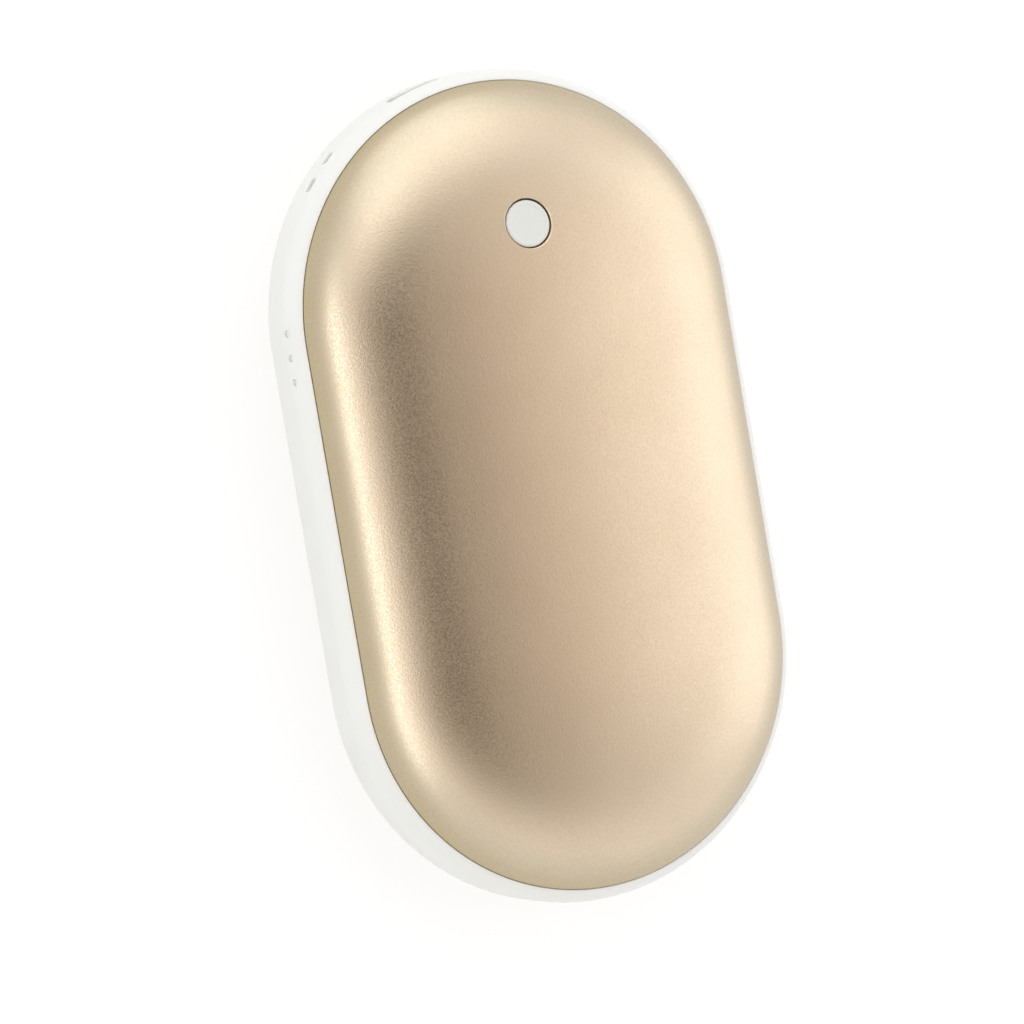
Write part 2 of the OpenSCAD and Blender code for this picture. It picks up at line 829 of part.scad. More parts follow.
// A round lead, with flat ends, along a smooth curve through a route
module lead(route, d) {
    path = smooth_route(route);
    last = (len(path) - 1) * lead_sides;
    points = [for (i = [0 : len(path) - 1]) each ring(path, i, d / 2)];
    sides = [
        for (i = [0 : len(path) - 2], k = [0 : lead_sides - 1])
            let (a = i * lead_sides + k, b = i * lead_sides + (k + 1) % lead_sides)
            each [[a, b, b + lead_sides], [a, b + lead_sides, a + lead_sides]]
    ];
    ends = [for (k = [1 : lead_sides - 2]) each [[0, k + 1, k], [last, last + k, last + k + 1]]];
    polyhedron(points, concat(sides, ends));
}

// Two leads side by side along one route
module lead_pair(route, d, gap) {
    from_mid() for (side = [-1, 1]) translate([side * gap / 2, 0, 0]) lead(route, d);
}

module battery_lead_red() {
    color(RED) from_mid() translate([-battery_lead_x, 0, 0]) lead(battery_route, power_lead_d);
}

module battery_lead_black() {
    color(CHIP) from_mid() translate([battery_lead_x, 0, 0]) lead(battery_route, power_lead_d);
}

module front_heater_leads() {
    color(RED) lead_pair(front_heater_route, heater_lead_d, heater_lead_gap);
}

module back_heater_leads() {
    color(RED) lead_pair(back_heater_route, heater_lead_d, heater_lead_gap);
}

module front_thermistor_leads() {
    color(CHIP) lead_pair(front_thin_route, thin_lead_d, thin_lead_gap);
}

module back_thermistor_leads() {
    color(CHIP) lead_pair(back_thin_route, thin_lead_d, thin_lead_gap);
}

// Heating film on the inside of the crown, out to a distance from the spine
module heater_film() {
    color(FILM) from_front_edge() sweep() difference() {
        intersection() {
            dome_half(shell_t + film_gap);
            square([film_u, dome_top]);
        }
        dome_half(under_film);
    }
}

module front_heater_film() {
    difference() {
        heater_film();
        block(far, [film_end, far], [0, far]);
    }
}

module back_heater_film() {
    to_back() heater_film();
}

// Bead that lies against a film, on the front half, on one side of the middle
module thermistor(x) {
    film_z = crown_c[1] + sqrt(pow(crown_r - under_film, 2) - x * x);
    color(CHIP) from_front_edge() translate([x, bead_y, film_z - bead_r - 0.1])
        rotate([-90, 0, 0]) cylinder(r = bead_r, h = bead_l);
}

module front_thermistor() {
    thermistor(bead_x);
}

module back_thermistor() {
    to_back() thermistor(-bead_x);
}

// Foam between a film and something flat at a height above the band's middle, on the front half
module foam_pad(foot) {
    color(FOAM) intersection() {
        from_front_edge() sweep() dome_half(under_film + pad_fit);
        from_mid() translate([0, pad_y, foot]) rounded_plate(pad_size[0], pad_size[1], far, 2);
    }
}

module front_foam_pad() {
    foam_pad(cell_gap / 2 + cell_t + 0.1);
}

module back_foam_pad() {
    to_back() foam_pad(0.1 - tray_floor_z);
}

// Pan-head screw with a cross recess, with Z 0 under its head
module screw() {
    difference() {
        cylinder(r = screw_head_r, h = screw_head_h);
        for (turn = [0, 90]) rotate(turn) translate([0, 0, screw_head_h])
            cube([screw_cross[0], screw_cross[1], 2 * screw_cross[2]], center = true);
    }
    translate([0, 0, -screw_l]) cylinder(r = screw_r, h = screw_l + eps);
}

module board_screws() {
    color(STEEL) from_mid() at_board_screws() screw();
}

module tray_screws() {
    color(STEEL) from_mid() at_tray_screws() screw();
}

front_shell();
back_shell();
mid_frame();
front_seal_ring();
back_seal_ring();
button_cap();
button_guide();
tact_switch_body();
tact_switch_dome();
tact_switch_plunger();
button_led();
main_board();
power_inductor();
controller_chip();
power_transistors();
filter_capacitors();
board_resistors();
indicator_leds();
indicator_light_pipe();
usb_a_shell();
usb_a_insulator();
usb_a_contacts();
micro_usb_shell();
micro_usb_insulator();
micro_usb_contacts();
front_battery_cell();
back_battery_cell();
cell_bonding_pad();
cell_tabs();
protection_board();
battery_tray();
battery_lead_red();
battery_lead_black();
front_heater_film();
back_heater_film();
front_heater_leads();
back_heater_leads();
front_thermistor();
back_thermistor();
front_thermistor_leads();
back_thermistor_leads();
front_foam_pad();
back_foam_pad();
board_screws();
tray_screws();
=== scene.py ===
"""Looks of a rechargeable hand warmer: two blasted gold shells on a white plastic band.

Driving lengths are in millimetres and say what part.scad says. Meshes are made in metres.
Heights called h are above the middle of the band.
"""
import json
import math

import bmesh
import bpy
from mathutils import Matrix, Vector

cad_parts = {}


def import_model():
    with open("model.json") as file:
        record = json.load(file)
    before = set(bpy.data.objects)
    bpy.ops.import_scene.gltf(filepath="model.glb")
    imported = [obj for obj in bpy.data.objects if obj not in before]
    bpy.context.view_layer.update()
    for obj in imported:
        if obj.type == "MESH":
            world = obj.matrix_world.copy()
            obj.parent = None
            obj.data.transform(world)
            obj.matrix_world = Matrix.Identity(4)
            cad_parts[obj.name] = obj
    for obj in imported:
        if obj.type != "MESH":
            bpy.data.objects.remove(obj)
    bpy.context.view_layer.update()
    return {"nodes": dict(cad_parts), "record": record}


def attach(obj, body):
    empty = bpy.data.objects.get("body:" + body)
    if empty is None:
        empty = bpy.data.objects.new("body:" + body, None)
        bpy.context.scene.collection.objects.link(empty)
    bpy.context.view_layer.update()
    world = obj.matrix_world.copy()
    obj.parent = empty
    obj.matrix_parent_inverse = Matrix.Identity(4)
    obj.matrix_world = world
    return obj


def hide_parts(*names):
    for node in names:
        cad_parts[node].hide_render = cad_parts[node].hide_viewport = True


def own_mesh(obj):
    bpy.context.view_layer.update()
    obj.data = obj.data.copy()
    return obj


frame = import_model()

BODIES = frame["record"]["behaviour"]["bodies"]
SLOTS = {part["node"]: part["material_slot"] for part in frame["record"]["subparts"]}

MM = 0.001

# Body, as in part.scad
END_R = 29.3
SPINE = 20.7
MID_Z = 11.3727
BAND_H = 8.8
EDGE_U = 27.63
BAND_EDGE_R = 3.07
BAND_FLAT = 1.6678
FRONT_EDGE_Z = MID_Z + BAND_H / 2

# Inside of the band: a ledge with a lip on it, the channel behind, and the groove of a shell
LEDGE_U = 25.2
LIP_T = 0.8
LIP_H = 0.8
LIP_BEVEL = 0.08
WALL_U = 27.3
CHANNEL_H = 4.0
GROOVE_U = 26.633
GROOVE_D = 1.05
# Seam: the gap outside a shell, the round on the band's edge, and the height where its barrel ends
SEAM_GAP = 0.05
SEAM_ROUND = 0.08
BARREL_H = 4.35

# Shells: arcs of the section as centre, radius, and start and end tilt above the horizontal
SHOULDER = ((21.739, -2.747), 6.5, 25.0, 58.0)
FLANK = ((13.525, -15.892), 22.0, 58.0, 81.0)
CROWN = ((0.0, -101.29), 108.463, 81.0, 90.0)
# Pairs of arcs that meet, the flatter one first, and how far from there the shading is eased
EASED = ((CROWN, FLANK, 3.0), (FLANK, SHOULDER, 1.5))
SHELL_T = 0.8
SKIRT_IN = 26.733
SKIRT_H = 0.75
SKIRT_BEVEL = 0.04
DOME_H = 7.1727
LAND_DEPTH = 0.2

# Button, its hole in the front shell, and what holds it from below
BUTTON_Y = 30.9
BUTTON_R = 2.8
HOLE_R = 2.96
HOLE_ROUND = 0.16
BUTTON_TILT = 5.40
BUTTON_RECESS = 0.12
BUTTON_RIM = 0.4
BUTTON_ROUND = 0.26
BUTTON_DISH = 0.06
DISH_SLOPE = 0.3
HEAD_H = 1.5
NECK_FIT = 0.05
FLANGE_R = 3.9
FLANGE_H = (7.95, 8.75)
FLANGE_BEVEL = 0.1
STEM_R = 1.2
STEM_H = 7.58
NECK_H = 9.9

# Dome spring in the switch
SPRING_R = 1.0
SPRING_H = 0.46
SPRING_T = 0.1
SPRING_FOOT = 4.57

# Indicator lights: the pinholes and the clear bar with a pin to each
LIGHT_Y = (17.15, 20.0, 22.85)
LIGHT_H = 2.5
LIGHT_HOLE_R = 0.45
LIGHT_HOLE_ROUND = 0.05
PIN_R = 0.4
PIN_DOME = 0.12
PIN_X = (-24.85, -29.0)
PIPE_BAR = (0.6, 0.7)
PIPE_BAR_X = -24.65
PIPE_BAR_H = 2.45
PIPE_BAR_Y = (16.5, 23.5)

# Lanyard eye: width and height of each slot, width and thickness of the bar between them, and
# the solid that they are cut in, as the middle of its section and half its thickness and height
EYE_ANGLE = 44.0
EYE_H = 1.1
EYE_SLOT = (1.75, 1.6)
EYE_CORNER = 0.35
EYE_ROUND = 0.25
EYE_BAR = (2.1, 1.5)
EYE_DEPTH = 3.1
EYE_BOSS = (26.8, 0.0, 1.5, 3.2)
EYE_BOSS_ANGLE = 18.9

# Height of the board's underside
BOARD_H = 2.85

# Screw bosses, and the webs that tie them to the band
BOSS_R = 2.3
BOSS_BEVEL = 0.15
BOSS_WEB = 3.2
PILOT_R = 0.98
BOARD_BOSS = (20.5, 28.5)
BOARD_BOSS_FOOT = -1.6
BOARD_PILOT_FOOT = -0.45
BOARD_WEB_U = 27.8
TRAY_BOSS_X = 23.0
TRAY_BOSS_Y = (-14.0, 8.0)
TRAY_BOSS_TOP = -1.6
TRAY_WEB = 2.9

# Sockets, both under the board. Each socket, tongue and contact is width, length and height.
SOCKET_FIT = 0.1
WINDOW_ROUND = 0.08
SHEET_LIP = 0.07
USB_A = (13.2, 14.0, 5.7)
USB_A_X = 6.0
USB_A_MOUTH = 46.4
USB_A_WALL = 0.3
USB_A_CORNER = 0.8
USB_A_BLOCK = 3.1
USB_A_TONGUE = (11.1, 10.2, 1.84)
USB_A_TONGUE_H = -0.04
USB_A_CONTACT = (1.0, 8.6, 0.15)
USB_A_CONTACT_X = (-3.5, -1.0, 1.0, 3.5)
# Spring tabs of the wide socket: place off its middle, width, thickness and bend
USB_A_TAB = (2.6, 1.5, 0.2, 0.3)
MICRO = (7.5, 5.6, 2.6)
MICRO_X = -7.6
MICRO_MOUTH = 46.9
MICRO_WALL = 0.25
MICRO_CORNER = 0.5
MICRO_SLANT = 0.9
MICRO_BLOCK = 1.2
MICRO_TONGUE = (3.7, 3.6, 0.6)
MICRO_CONTACT = (0.35, 3.0, 0.08)
MICRO_PITCH = 0.65

# Padding: width and length of the pads over the films and of the pad between the cells
PAD = (30.0, 44.0)
PAD_Y = -7.0
PAD_WAIST = 0.5
PAD_DEPTH = 1.15
FRONT_PAD_H = 6.85
BACK_PAD_H = 7.85
BOND = (30.0, 48.0)
BOND_H = 0.2

# Height over a surface at which a cutter ends
CUTTER_OUT = 1.5

# How near to a surface a point counts as on it, in millimetres, and as a tilt in degrees
NEAR_SHELL = 0.01
NEAR_BAND = 0.004
NEAR_TILT = 0.2

# Camera, fitted to the outline of the photographed object
CAMERA_TURN = (25.23, 2.752, 9.707)
CAMERA_SHIFT = (4.311, 3.209)
CAMERA_DISTANCE = 568.0
CAMERA_LENS = 168.3

# Soft boxes, at a distance in metres: azimuth from +X towards +Y, elevation, width and height in
# degrees, and brightness as a colour
LAMP_DISTANCE = 0.9
LAMPS = (
    ("right_box", 0, 24, 48, 43, (0.57, 0.59, 0.62)),
    ("high_box", 0, 63, 26, 36, (0.51, 0.45, 0.42)),
    ("left_box", 188, 46, 47, 12, (2.51, 2.53, 2.54)),
    ("left_end_box", 118, 56, 24, 13, (0.53, 0.54, 0.54)),
    ("end_box", 90, 37, 48, 69, (0.63, 0.67, 0.69)),
)

# Floor: its grey in the light that it throws back, and its grey and glow as the camera sees it
FLOOR_HALF = 4000.0
FLOOR_DROP = 0.1
FLOOR_GREY = 0.8
FLOOR_SEEN_GREY = 0.3
FLOOR_GLOW = 0.75

# Surround: elevation and colour
SKY = (
    (0, (1.0, 1.0, 1.0)),
    (8, (1.0, 1.0, 1.0)),
    (20, (1.0, 1.0, 0.97)),
    (40, (0.98, 0.98, 0.96)),
    (50, (0.885, 0.87, 0.85)),
    (58, (0.67, 0.64, 0.61)),
    (66, (0.34, 0.30, 0.24)),
    (76, (0.08, 0.04, 0.0)),
    (90, (0.01, 0.0, 0.0)),
)

# Linear colours. The shoulder of a shell carries painted shade, darker and yellower towards the seam,
# by its height over the seam in centimetres.
GOLD = (0.718, 0.586, 0.437, 1)
GOLD_LIGHT = (0.738, 0.606, 0.457, 1)
PAINTED_SHOULDER_SHADE = (
    (0.00, (0.70, 0.72, 0.59)),
    (0.06, (0.72, 0.73, 0.65)),
    (0.14, (0.75, 0.755, 0.71)),
    (0.21, (0.81, 0.835, 0.81)),
    (0.28, (0.87, 0.91, 0.91)),
    (0.38, (1.0, 1.0, 1.0)),
)
WHITE = (0.865, 0.868, 0.85, 1)
WHITE_SHADE = (0.85, 0.853, 0.835, 1)
FROST = (0.73, 0.742, 0.718, 1)
MILKY = {"Subsurface_Weight": 0.5, "Subsurface_Radius": (1, 1, 1), "Subsurface_Scale": 0.0006}


def rgb(text):
    """Linear colour of an sRGB hex code."""
    parts = [int(text[i:i + 2], 16) / 255 for i in (1, 3, 5)]
    return tuple(p / 12.92 if p <= 0.04045 else ((p + 0.055) / 1.055) ** 2.4 for p in parts) + (1.0,)


def polar(angle, radius=1.0):
    return radius * math.cos(math.radians(angle)), radius * math.sin(math.radians(angle))


def steps(a, b, count):
    return [a + (b - a) * i / count for i in range(count + 1)]


def arc(u, h, radius, start, end, count):
    """Points of an arc about (u, h) between two angles."""
    return [(u + polar(a, radius)[0], h + polar(a, radius)[1]) for a in steps(start, end, count)]


# Mesh helpers


def new_mesh(name, points, faces):
    """Mesh from points in millimetres."""
    mesh = bpy.data.meshes.new(name)
    mesh.from_pydata([tuple(c * MM for c in p) for p in points], [], faces)
    return mesh


def new_object(name, data):
    """Object in the scene."""
    obj = bpy.data.objects.new(name, data)
    bpy.context.scene.collection.objects.link(obj)
    return obj


def new_piece(name, points, faces, node):
    """Object from points in millimetres that stands for a CAD node and takes its body and slot."""
    mesh = new_mesh(name, points, faces)
    obj = new_object(name, mesh)
    clean(mesh)
    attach(obj, next(body for body, nodes in BODIES.items() if node in nodes))
    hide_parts(node)
    mesh.materials.append(MATERIALS[SLOTS[node]])
    return obj


def clean(mesh):
    """Welds doubled points, turns the faces outward, and marks the edges over 30 degrees as sharp."""
    bm = bmesh.new()
    bm.from_mesh(mesh)
    bmesh.ops.remove_doubles(bm, verts=bm.verts, dist=1e-7)
    bmesh.ops.dissolve_degenerate(bm, edges=bm.edges, dist=1e-8)
    bmesh.ops.recalc_face_normals(bm, faces=bm.faces)
    bm.to_mesh(mesh)
    bm.free()
    mesh.shade_smooth()
    mesh.set_sharp_from_angle(angle=math.radians(30))


def stations(arc_steps=72, straight_steps=14):
    """Foot points and outward directions round the stadium, as x, y, dx, dy."""
    found = []
    for side in (1, -1):
        for angle in steps(0, 180, arc_steps)[:-1]:
            dx, dy = polar(angle)
            found.append((0.0, side * SPINE, side * dx, side * dy))
        for y in steps(SPINE, -SPINE, straight_steps)[:-1]:
            found.append((0.0, side * y, -side, 0.0))
    return found


def sweep(section, closed=True):
    """Points and faces of a section of (u, z) carried round the stadium."""
    around = stations()
    points = [(x + u * dx, y + u * dy, z) for x, y, dx, dy in around for u, z in section]
    n = len(section)
    faces = []
    for i in range(len(around)):
        a, b = i * n, (i + 1) % len(around) * n
        for k in range(n if closed else n - 1):
            j = (k + 1) % n
            faces.append((a + k, a + j, b + j, b + k))
    return points, faces


def lathe(section, count=96):
    """Points and faces of a section of (r, z) turned round Z, closed on the axis at both ends."""
    points = []
    for i in range(count):
        c, s = polar(360 * i / count)
        points += [(r * c, r * s, z) for r, z in section]
    n = len(section)
    faces = []
    for i in range(count):
        a, b = i * n, (i + 1) % count * n
        faces += [(a + k, a + k + 1, b + k + 1, b + k) for k in range(n - 1)]
    return points, faces


def moved(points, matrix):
    return [tuple(matrix @ Vector(p)) for p in points]


def joined(*parts):
    """One list of points and faces from several."""
    points, faces = [], []
    for more_points, more_faces in parts:
        faces += [tuple(i + len(points) for i in face) for face in more_faces]
        points += more_points
    return points, faces


def tube(rings, closed=False):
    """Faces over rings of equal length, with a fan over each end or, closed, back to the first ring."""
    n = len(rings[0])
    points = [p for ring in rings for p in ring]
    faces = []
    for i in range(len(rings) if closed else len(rings) - 1):
        a, b = i * n, (i + 1) % len(rings) * n
        faces += [(a + k, a + (k + 1) % n, b + (k + 1) % n, b + k) for k in range(n)]
    if closed:
        return points, faces
    for ring, base in ((rings[0], 0), (rings[-1], (len(rings) - 1) * n)):
        points.append(tuple(sum(c) / n for c in zip(*ring)))
        faces += [(base + k, base + (k + 1) % n, len(points) - 1) for k in range(n)]
    return points, faces


def upright(a, b, level):
    return a, b, MID_Z + level


def lengthways(a, b, level):
    return a, level, MID_Z + b


def prism(outline, low, high, place, bevel=0.0):
    """Solid over an outline between two levels, with its edges broken."""
    levels = ((-bevel, low), (0.0, low + bevel), (0.0, high - bevel), (-bevel, high))
    return tube([[place(*(p + out * grow), level) for p, out in outline] for grow, level in levels])


def strip(path, x, width, thick):
    """Bent strip of metal along Y, from points of Y and the height of its underside."""
    rings = []
    for y, h in path:
        corners = box_corners(x, h + thick / 2, width / 2, thick / 2)
        rings.append([lengthways(a, b, y) for a, b in corners])
    return tube(rings)


def rounded(corners, radius, count=6):
    """Outline of a convex polygon with round corners, with the outward direction at each point."""
    found = []
    size = len(corners)
    for i, corner in enumerate(corners):
        here = Vector(corner)
        back = (Vector(corners[i - 1]) - here).normalized()
        ahead = (Vector(corners[(i + 1) % size]) - here).normalized()
        half = back.angle(ahead) / 2
        centre = here + (back + ahead).normalized() * radius / math.sin(half)
        first = (here + back * radius / math.tan(half) - centre).normalized()
        last = (here + ahead * radius / math.tan(half) - centre).normalized()
        for t in steps(0, 1, count):
            out = first.slerp(last, t)
            found.append((centre + out * radius, out))
    return found


def box_corners(x, y, w, h):
    return [(x - w, y - h), (x + w, y - h), (x + w, y + h), (x - w, y + h)]


def circle_outline(r, count):
    outs = [Vector(polar(360 * i / count)) for i in range(count)]
    return [(out * r, out) for out in outs]


def mouth(outline, place, depth, fillet):
    """Cutter for an opening with a rounded mouth. place(a, b, h) is a point at h over the surface."""
    wide = fillet * 1.4
    rings = [(0.0, -depth), (0.0, -fillet)]
    rings += [(fillet * (1 - polar(a)[0]), fillet * (polar(a)[1] - 1)) for a in steps(15, 75, 4)]
    rings += [(wide, fillet * 0.6), (wide, CUTTER_OUT)]
    return tube([[place(*(p + out * grow), h) for p, out in outline] for grow, h in rings])


def combine(obj, operation, solids):
    """Joins solids, as points and faces in millimetres, to an object or takes them out of it."""
    for points, faces in solids:
        mesh = new_mesh("solid", points, faces)
        clean(mesh)
        solid = new_object("solid", mesh)
        bake(obj, "BOOLEAN", operation=operation, solver="EXACT", object=solid)
        bpy.data.objects.remove(solid)
        bpy.data.meshes.remove(mesh)


def bake(obj, kind, **settings):
    """Adds one modifier and applies it."""
    modifier = obj.modifiers.new(kind.lower(), kind)
    for key, value in settings.items():
        setattr(modifier, key, value)
    depsgraph = bpy.context.evaluated_depsgraph_get()
    result = bpy.data.meshes.new_from_object(obj.evaluated_get(depsgraph), depsgraph=depsgraph)
    obj.modifiers.clear()
    old = obj.data
    name = old.name
    obj.data = result
    bpy.data.meshes.remove(old)
    result.name = name


def true_normals(obj, surface):
    """Gives the corners that lie on a known surface that surface's own normals."""
    mesh = obj.data
    normals = [Vector((0, 0, 0))] * len(mesh.loops)
    for face in mesh.polygons:
        for i in face.loop_indices:
            known = surface(mesh.vertices[mesh.loops[i].vertex_index].co / MM)
            # A face that turns off the surface, such as the side of an opening, keeps its own
            if known and known.dot(face.normal) > 0.95:
                normals[i] = known
    mesh.normals_split_custom_set(normals)


# Known surfaces


def from_spine(p):
    """Distance from the spine and the outward direction in plan."""
    foot = max(-SPINE, min(SPINE, p.y))
    out = Vector((p.x, p.y - foot))
    return out.length, (out.normalized() if out.length > 1e-6 else Vector((1, 0)))


def eased(tilt):
    """Tilt of a shell's normal, with each step in its curvature spread over a few millimetres."""
    for flat, steep, reach in EASED:
        slow, fast = 1 / flat[1], 1 / steep[1]
        turn = math.radians(tilt - flat[2])
        along = turn / (slow if turn > 0 else fast)
        if abs(along) < reach:
            turn = fast * along + (slow - fast) * (along + reach) ** 2 / (4 * reach)
            return flat[2] + math.degrees(turn)
    return tilt


def dome_normal(u, z):
    """Normal of a shell's outer face as (outward, up), for a height above the shell's edge."""
    for (cu, cz), r, start, _ in (CROWN, FLANK, SHOULDER):
        offset = Vector((u - cu, z - cz))
        tilt = math.degrees(math.atan2(offset.y, offset.x))
        if start - NEAR_TILT <= tilt and abs(offset.length - r) < NEAR_SHELL:
            return Vector(polar(eased(tilt)))
    return None


def shell_surface(p):
    """Normal of the front shell's outer face, or None off it."""
    u, out = from_spine(p)
    tilt = dome_normal(u, p.z - FRONT_EDGE_Z)
    return Vector((out.x * tilt.x, out.y * tilt.x, tilt.y)) if tilt else None


def back_surface(p):
    up = shell_surface(Vector((p.x, p.y, 2 * MID_Z - p.z)))
    return Vector((up.x, up.y, -up.z)) if up else None


def crown_h(x, y, depth=0.0):
    """Height of the crown over the band's middle, at a depth below its outer face."""
    u = from_spine(Vector((x, y, 0)))[0]
    return BAND_H / 2 + CROWN[0][1] + math.sqrt((CROWN[1] - depth) ** 2 - u * u)


def band_u(h):
    """Distance of the band's outer face from the spine at a height."""
    over = max(0.0, abs(h) - BAND_FLAT)
    return END_R - BAND_EDGE_R + math.sqrt(BAND_EDGE_R ** 2 - over * over)


def band_surface(p):
    """Normal of the band's outer face, or None off it."""
    h = p.z - MID_Z
    u, out = from_spine(p)
    if abs(h) > BARREL_H or abs(u - band_u(h)) > NEAR_BAND:
        return None
    over = math.copysign(max(0.0, abs(h) - BAND_FLAT), h)
    side = math.sqrt(BAND_EDGE_R ** 2 - over * over)
    return Vector((out.x * side, out.y * side, over)).normalized()


# Materials


def shader(name, colour, roughness, **values):
    """Material, its node tree and its principled node."""
    material = bpy.data.materials.new(name)
    material.use_nodes = True
    tree = material.node_tree
    principled = tree.nodes["Principled BSDF"]
    principled.inputs["Base Color"].default_value = colour
    principled.inputs["Roughness"].default_value = roughness
    for key, value in values.items():
        principled.inputs[key.replace("_", " ")].default_value = value
    return material, tree, principled


def add(tree, kind, inputs=None, **settings):
    """Node with settings, and inputs given as values or as outputs to link."""
    node = tree.nodes.new("ShaderNode" + kind)
    for key, value in settings.items():
        setattr(node, key, value)
    for key, value in (inputs or {}).items():
        if isinstance(value, bpy.types.NodeSocket):
            tree.links.new(value, node.inputs[key])
        else:
            node.inputs[key].default_value = value
    return node


def place_of(tree):
    return add(tree, "TexCoord").outputs["Object"]


def noise(tree, size, detail=2.0, roughness=0.5):
    """Noise with features of about a size in millimetres."""
    return add(tree, "TexNoise", {
        "Vector": place_of(tree), "Scale": 1 / (size * MM), "Detail": detail, "Roughness": roughness,
    }).outputs["Fac"]


def spread(tree, value, low, high, out_low, out_high):
    """Maps a range of a value onto another, smoothly."""
    return add(tree, "MapRange", {
        "Value": value, "From Min": low, "From Max": high, "To Min": out_low, "To Max": out_high,
    }, interpolation_type="SMOOTHSTEP").outputs["Result"]


def mix(tree, factor, a, b):
    return add(tree, "Mix", {0: factor, 6: a, 7: b}, data_type="RGBA").outputs[2]


def times(tree, a, b):
    return add(tree, "Mix", {0: 1.0, 6: a, 7: b}, data_type="RGBA", blend_type="MULTIPLY").outputs[2]


def bump(tree, height, depth, strength, under=None):
    """Bump of a depth in millimetres, over another bump."""
    inputs = {"Height": height, "Distance": depth * MM, "Strength": strength}
    if under:
        inputs["Normal"] = under
    return add(tree, "Bump", inputs).outputs["Normal"]


def wire(tree, principled, **links):
    for key, output in links.items():
        tree.links.new(output, principled.inputs[key.replace("_", " ")])


def ramp(tree, value, stops):
    """Colour by a value, from stops of position and colour."""
    node = add(tree, "ValToRGB", {"Fac": value})
    elements = node.color_ramp.elements
    while len(elements) < len(stops):
        elements.new(1.0)
    for element, (position, colour) in zip(elements, stops):
        element.position = position
        element.color = (*colour[:3], 1)
    return node.outputs["Color"]


def calculate(tree, operation, a, b=0.0):
    return add(tree, "Math", {0: a, 1: b}, operation=operation).outputs[0]


def height_over_seam(tree):
    """Height above the edge of the nearest shell, in centimetres."""
    z = add(tree, "SeparateXYZ", {0: place_of(tree)}).outputs["Z"]
    from_middle = calculate(tree, "ABSOLUTE", calculate(tree, "SUBTRACT", z, MID_Z * MM))
    over = calculate(tree, "SUBTRACT", from_middle, BAND_H / 2 * MM)
    return calculate(tree, "MULTIPLY", over, 100.0)


def gold_metal():
    """Champagne gold, blasted to a fine grain and anodised, with painted shade on the shoulder."""
    material, tree, principled = shader("gold_metal", GOLD, 0.36, Metallic=1.0)
    grain = noise(tree, 0.28, roughness=0.7)
    cloud = noise(tree, 9.0)
    tint = mix(tree, spread(tree, cloud, 0.3, 0.7, 0, 1), GOLD, GOLD_LIGHT)
    # Painted shade: the shoulder's colour darkens towards the seam, by height over it
    tint = times(tree, tint, ramp(tree, height_over_seam(tree), PAINTED_SHOULDER_SHADE))
    tint = times(tree, tint, spread(tree, grain, 0.3, 0.7, 0.96, 1.04))
    rough = spread(tree, grain, 0.25, 0.75, 0.40, 0.31)
    wire(tree, principled, Base_Color=tint, Roughness=rough, Normal=bump(tree, grain, 0.02, 0.75))
    return material


def white_plastic():
    """Satin white moulding that lets a little light through."""
    material, tree, principled = shader("white_plastic", WHITE, 0.38, **MILKY)
    cloud = noise(tree, 6.0, detail=3.0)
    colour = mix(tree, cloud, WHITE, WHITE_SHADE)
    rough = spread(tree, cloud, 0.3, 0.7, 0.34, 0.44)
    fine = bump(tree, noise(tree, 0.12), 0.005, 0.3)
    wire(tree, principled, Base_Color=colour, Roughness=rough, Normal=fine)
    return material


def moulded(name, colour, roughness, size=0.15, depth=0.01, change=0.85, **values):
    """Moulded plastic or rubber, with a fine texture and a colour that varies by a factor."""
    material, tree, principled = shader(name, colour, roughness, **values)
    cloud = noise(tree, size * 20, detail=3.0)
    shade = tuple(c * change for c in colour[:3]) + (1.0,)
    texture = bump(tree, noise(tree, size), depth, 0.6)
    rough = spread(tree, cloud, 0.3, 0.7, roughness * 0.9, min(1.0, roughness * 1.15))
    wire(tree, principled, Base_Color=mix(tree, cloud, colour, shade), Roughness=rough, Normal=texture)
    return material


def circuit_board():
    """Green solder mask over copper tracks."""
    material, tree, principled = shader("circuit_board", rgb("#1f6b3c"), 0.35, Coat_Weight=0.3)
    tracks = add(tree, "TexBrick", {
        "Vector": place_of(tree), "Scale": 350.0, "Mortar Size": 0.035, "Mortar Smooth": 0.2,
        "Color1": rgb("#1f6b3c"), "Color2": rgb("#1b6138"), "Mortar": rgb("#2f8a50"),
    })
    relief = bump(tree, tracks.outputs["Fac"], 0.02, 0.5)
    wire(tree, principled, Base_Color=tracks.outputs["Color"], Normal=relief)
    return material


def steel():
    """Nickelled sheet with fine drawing lines along Y."""
    material, tree, principled = shader("steel", rgb("#c9cac8"), 0.28, Metallic=1.0)
    stretched = add(tree, "Mapping", {"Vector": place_of(tree), "Scale": (1.0, 0.04, 1.0)}).outputs[0]
    lines = add(tree, "TexNoise", {"Vector": stretched, "Scale": 9000.0, "Detail": 2.0}).outputs["Fac"]
    rough = spread(tree, lines, 0.3, 0.7, 0.2, 0.36)
    colour = mix(tree, noise(tree, 3.0), rgb("#d2d3d1"), rgb("#bfc0be"))
    wire(tree, principled, Base_Color=colour, Roughness=rough, Normal=bump(tree, lines, 0.004, 0.4))
    return material


def gold_plate():
    material, tree, principled = shader("gold_plate", rgb("#e2b65a"), 0.22, Metallic=1.0)
    colour = mix(tree, noise(tree, 0.8), rgb("#e8bf66"), rgb("#cf9f45"))
    wire(tree, principled, Base_Color=colour, Normal=bump(tree, noise(tree, 0.1), 0.003, 0.4))
    return material


